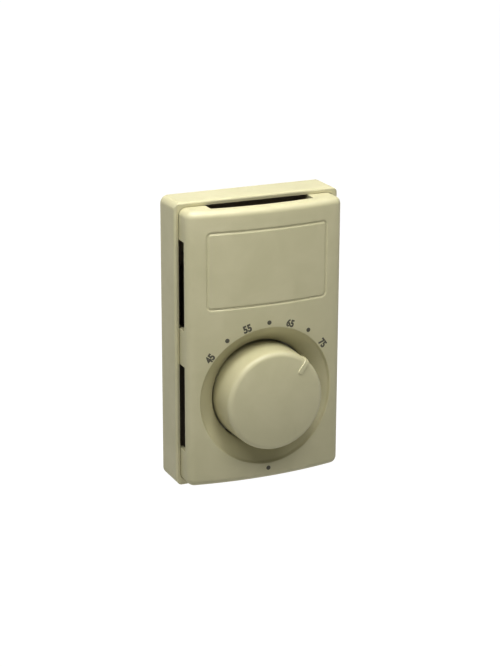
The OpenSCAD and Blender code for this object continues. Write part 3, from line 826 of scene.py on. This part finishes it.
def speckled(name, colour, roughness, grain, darker, lighter, relief=0.015):
    """Moulded filler, ceramic or pressed fibre: grains of two shades."""
    look = Look(name, colour, roughness)
    look.mottle(look.noise(grain, 6), darker, lighter, 0.35, 0.65)
    look.uneven(look.noise(2), 0.08)
    look.bump(look.noise(grain * 0.5, 4), relief)
    return look.material


def heat_tinted(name, colour, roughness):
    """Rolled bimetal: lengthwise lines under straw and brown heat tints."""
    look = Look(name, colour, roughness, metallic=1.0)
    look.mottle(look.noise(7, 3, distortion=1.5), (1.05, 0.88, 0.62), (0.98, 1.0, 1.02))
    look.uneven(look.noise(1.2, 4), 0.08)
    look.bump(look.noise(0.3, 2, stretch=(1, 1, 0.05)), 0.008)
    return look.material


def printed(name, colour):
    """Pad printed ink with slightly uneven cover."""
    look = Look(name, colour, 0.5)
    look.mottle(look.noise(0.4, 3), (0.8, 0.8, 0.8), (1.5, 1.5, 1.4))
    return look.material


MATERIALS = {
    "body": moulded("almond_moulding", (0.59, 0.56, 0.388), 0.42),
    "knob": moulded("almond_knob_moulding", (0.60, 0.57, 0.395), 0.36, grain=0.3, relief=0.006),
    "nylon": moulded("natural_nylon", (0.72, 0.69, 0.58), 0.4, relief=0.004),
    "phenolic": speckled(
        "brown_phenolic",
        (0.085, 0.055, 0.032),
        0.34,
        0.4,
        (0.75, 0.75, 0.75),
        (1.35, 1.3, 1.3),
        relief=0.008,
    ),
    "fibre": speckled(
        "vulcanised_fibre", (0.36, 0.31, 0.26), 0.75, 0.7, (0.88, 0.88, 0.88), (1.14, 1.13, 1.12)
    ),
    "zinc": plated("zinc_plate", (0.66, 0.67, 0.66), 0.36),
    "screw": plated("bright_screw_steel", (0.62, 0.61, 0.59), 0.28, grain=0.15),
    "spring": plated("spring_steel", (0.40, 0.41, 0.43), 0.3, grain=0.15, tint=(1.05, 1.03, 1.0)),
    "brass": plated("brass", (0.78, 0.58, 0.28), 0.3, tint=(1.05, 1.0, 0.9)),
    "bimetal": heat_tinted("bimetal_strip", (0.62, 0.58, 0.52), 0.34),
    "silver": plated("contact_silver", (0.88, 0.87, 0.84), 0.22, grain=0.1),
    "ceramic": speckled(
        "steatite", (0.78, 0.74, 0.66), 0.5, 0.6, (0.93, 0.92, 0.9), (1.04, 1.04, 1.04)
    ),
    "heater": plated("oxidised_resistance_wire", (0.30, 0.27, 0.24), 0.45, tint=(1.2, 1.0, 0.85)),
    "ink": printed("dial_ink", (0.12, 0.114, 0.09)),
}

# CAD nodes that keep their shape: material, and the rounding of their edges in mm
NODE_LOOKS = {
    "rear_base": ("body", 0.12),
    "insulating_sheet": ("fibre", 0),
    "mounting_frame": ("zinc", 0.1),
    "frame_screws": ("screw", 0.08),
    "shaft_bushing": ("brass", 0.08),
    "friction_washer": ("spring", 0.05),
    "lever_pin": ("screw", 0.08),
    "stop_pin": ("screw", 0.08),
    "switch_case": ("phenolic", 0.15),
    "switch_lid": ("phenolic", 0.15),
    "switch_screws": ("screw", 0.08),
    "line_terminal": ("brass", 0.08),
    "load_terminal": ("brass", 0.08),
    "terminal_screws": ("brass", 0.08),
    "fixed_contact": ("silver", 0.08),
    "contact_pivot_pin": ("screw", 0.05),
    "anticipator_core": ("ceramic", 0.15),
    "anticipator_clips": ("brass", 0.08),
    "anticipator_screws": ("screw", 0.06),
    "cover_clip_left": ("spring", 0.06),
    "cover_clip_right": ("spring", 0.06),
    "clip_screws": ("screw", 0.06),
    "setting_shaft": ("zinc", 0.08),
    "setting_cam": ("nylon", 0.15),
    "shaft_retaining_ring": ("spring", 0.06),
    "knob_spring_clip": ("spring", 0.05),
    "range_lever": ("zinc", 0.1),
    "bimetal_blade": ("bimetal", 0.08),
    "bimetal_rivets": ("screw", 0.08),
    "calibration_screw": ("brass", 0.06),
    "calibration_nut": ("brass", 0.1),
    "switch_plunger": ("nylon", 0.06),
    "contact_arm": ("brass", 0.06),
    "moving_contact": ("silver", 0.08),
}


def finish_node(name, look, rounding):
    """Gives a CAD node its material and, with modifiers alone, small edge roundings."""
    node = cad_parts[name]
    mesh = node.data
    mesh.materials.clear()
    mesh.materials.append(MATERIALS[look])
    weld = node.modifiers.new("join_facets", "WELD")
    weld.merge_threshold = 1e-6
    flatten = node.modifiers.new("flat_faces", "DECIMATE")
    flatten.decimate_type = "DISSOLVE"
    flatten.angle_limit = math.radians(0.5)
    if rounding:
        soften_edges(node, rounding, angle=38)
    weights = node.modifiers.new("face_normals", "WEIGHTED_NORMAL")
    weights.keep_sharp = True


def dress(obj, look):
    obj.data.materials.append(MATERIALS[look])


# ---- camera, light and floor ----


# the camera's place as seen from the point that it looks at, with its distance in metres and lens in mm
CAMERA_AZIMUTH = math.radians(-24.36)
CAMERA_ELEVATION = math.radians(18.03)
CAMERA_ROLL = math.radians(0.2)
CAMERA_DISTANCE = 0.7492
CAMERA_TARGET = to_frame(-3.19, 2.10, 15.0)
LENS = 100.96

# strength of the light from the world low down, and the share of it that comes from everywhere else
SKY_LOW = 0.64
SKY_REST = 0.05

# soft lamps: azimuth to the left of the object's front, elevation, and power in watts;
# their distance and size are in metres
LAMP_DISTANCE = 0.5
LAMP_SIZE = 0.16
LAMPS = {
    "overhead_rear": (180, 80, 0.60),
    "overhead": (0, 85, 0.32),
    "high_front": (0, 57, 1.05),
    "high_left": (60, 72, 0.95),
    "left": (60, 50, 0.58),
    "right": (-60, 50, 0.39),
}


def make_camera():
    """The camera stands a little left of and above the object's front, far off, with a long lens."""
    azimuth, elevation = CAMERA_AZIMUTH, CAMERA_ELEVATION
    back = Vector(
        (
            math.sin(azimuth) * math.cos(elevation),
            -math.cos(azimuth) * math.cos(elevation),
            math.sin(elevation),
        )
    )
    data = bpy.data.cameras.new("camera")
    data.sensor_width = 36
    data.lens = LENS
    data.clip_start, data.clip_end = 0.01, 50
    camera = bpy.data.objects.new("camera", data)
    camera.location = CAMERA_TARGET + back * CAMERA_DISTANCE
    turn = (-back).to_track_quat("-Z", "Y").to_matrix() @ Matrix.Rotation(CAMERA_ROLL, 3, "Z")
    camera.rotation_euler = turn.to_euler()
    bpy.context.scene.collection.objects.link(camera)
    bpy.context.scene.camera = camera


def make_world():
    """Soft white light from low down all round, but for the front right, and little from higher up."""
    world = bpy.data.worlds.new("studio")
    world.use_nodes = True
    bpy.context.scene.world = world
    nodes, links = world.node_tree.nodes, world.node_tree.links
    coordinates = nodes.new("ShaderNodeTexCoord")
    split = nodes.new("ShaderNodeSeparateXYZ")
    links.new(coordinates.outputs["Generated"], split.inputs[0])

    def step(axis, low, high, before, after):
        """A smooth step along one axis of the direction."""
        remap = nodes.new("ShaderNodeMapRange")
        remap.interpolation_type = "SMOOTHSTEP"
        for name, value in zip(("From Min", "From Max", "To Min", "To Max"), (low, high, before, after)):
            remap.inputs[name].default_value = value
        links.new(split.outputs[axis], remap.inputs["Value"])
        return remap.outputs["Result"]

    def combine(operation, a, b):
        math_node = nodes.new("ShaderNodeMath")
        math_node.operation = operation
        for socket, value in zip(math_node.inputs, (a, b)):
            if isinstance(value, float):
                socket.default_value = value
            else:
                links.new(value, socket)
        return math_node.outputs[0]

    right = combine("MULTIPLY", step("Y", -0.15, 0.15, 1, 0), step("X", -0.25, 0.25, 0, 1))
    dark_right = combine("MULTIPLY", right, step("Z", -0.03, 0.03, 0, 1))
    low_down = combine("MULTIPLY", step("Z", 0.3, 0.45, 1, 0), combine("SUBTRACT", 1.0, dark_right))
    links.new(combine("ADD", low_down, SKY_REST), nodes["Background"].inputs["Color"])
    nodes["Background"].inputs["Strength"].default_value = SKY_LOW


def make_lamps():
    for name, (azimuth, elevation, power) in LAMPS.items():
        a, e = math.radians(azimuth), math.radians(elevation)
        place = Vector((-math.sin(a) * math.cos(e), -math.cos(a) * math.cos(e), math.sin(e)))
        data = bpy.data.lights.new(name, "AREA")
        data.shape = "SQUARE"
        data.size = LAMP_SIZE
        data.energy = power
        lamp = bpy.data.objects.new(name, data)
        lamp.location = place * LAMP_DISTANCE
        lamp.rotation_euler = place.to_track_quat("Z", "Y").to_euler()
        bpy.context.scene.collection.objects.link(lamp)


def make_stage():
    """A white floor under the object and a white dome round it, which the lamps don't light."""
    material = bpy.data.materials.new("pale_stage")
    material.use_nodes = True
    shader = material.node_tree.nodes["Principled BSDF"]
    shader.inputs["Base Color"].default_value = (0.02, 0.02, 0.02, 1)
    shader.inputs["Roughness"].default_value = 0.9
    shader.inputs["Emission Color"].default_value = (1, 1, 1, 1)
    shader.inputs["Emission Strength"].default_value = 1.0
    floor = bmesh.new()
    bmesh.ops.create_grid(floor, x_segments=1, y_segments=1, size=6)
    dome = bmesh.new()
    bmesh.ops.create_uvsphere(dome, u_segments=48, v_segments=24, radius=5.9)
    for name, bm in (("floor", floor), ("backdrop", dome)):
        obj = make_object(name, bm)
        obj.location = (0, 0, cad_box[0].z)
        obj.visible_diffuse = False
        obj.visible_glossy = False
        obj.visible_transmission = False
        obj.visible_shadow = False
        obj.data.materials.append(material)


make_camera()
make_world()
make_lamps()
make_stage()

dress(front_cover(), "body")
dress(knob(), "knob")
dress(scale_marks(), "ink")
dress(lever_spring(), "spring")
dress(arm_spring(), "spring")
dress(heater_winding(), "heater")
for name, (look, rounding) in NODE_LOOKS.items():
    finish_node(name, look, rounding)

view = bpy.context.scene.view_settings
view.view_transform = "Standard"
view.gamma = 0.74
